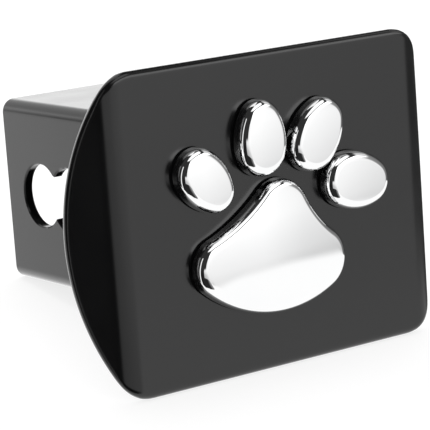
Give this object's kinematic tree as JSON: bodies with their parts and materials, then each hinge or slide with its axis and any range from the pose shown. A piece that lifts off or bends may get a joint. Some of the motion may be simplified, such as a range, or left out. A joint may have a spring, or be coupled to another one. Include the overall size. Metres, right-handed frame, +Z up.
{
  "type": "hitch receiver cover",
  "caption": "Hitch receiver cover: bent black face plate with a raised chrome dog-paw emblem, on a square tube shank with a slotted cross-pin hole.",
  "frame": {"origin": "centre of the shank in the plane of the face plate's back face, where the shank starts", "axes": "+X to the right seen from the front, +Y out of the cover's back along the shank, towards its open end and the receiver, +Z up"},
  "size_m": [0.1132, 0.095, 0.0812],
  "materials": {
    "black_paint": "semi-gloss black powder coat on steel",
    "weld_paint": "semi-gloss black powder coat over rippled weld",
    "chrome": "mirror-bright chrome plating on moulded pads",
    "tape_foam": "dark closed-cell foam tape"
  },
  "bodies": {
    "root": {"face_plate": "black_paint", "receiver_tube": "black_paint", "weld_bead_top": "weld_paint", "weld_bead_right": "weld_paint", "weld_bead_bottom": "weld_paint", "weld_bead_left": "weld_paint", "outer_left_toe": "chrome", "outer_left_toe_foam": "tape_foam", "inner_left_toe": "chrome", "inner_left_toe_foam": "tape_foam", "inner_right_toe": "chrome", "inner_right_toe_foam": "tape_foam", "outer_right_toe": "chrome", "outer_right_toe_foam": "tape_foam", "palm_pad": "chrome", "palm_foam": "tape_foam"}
  },
  "joints": []
}
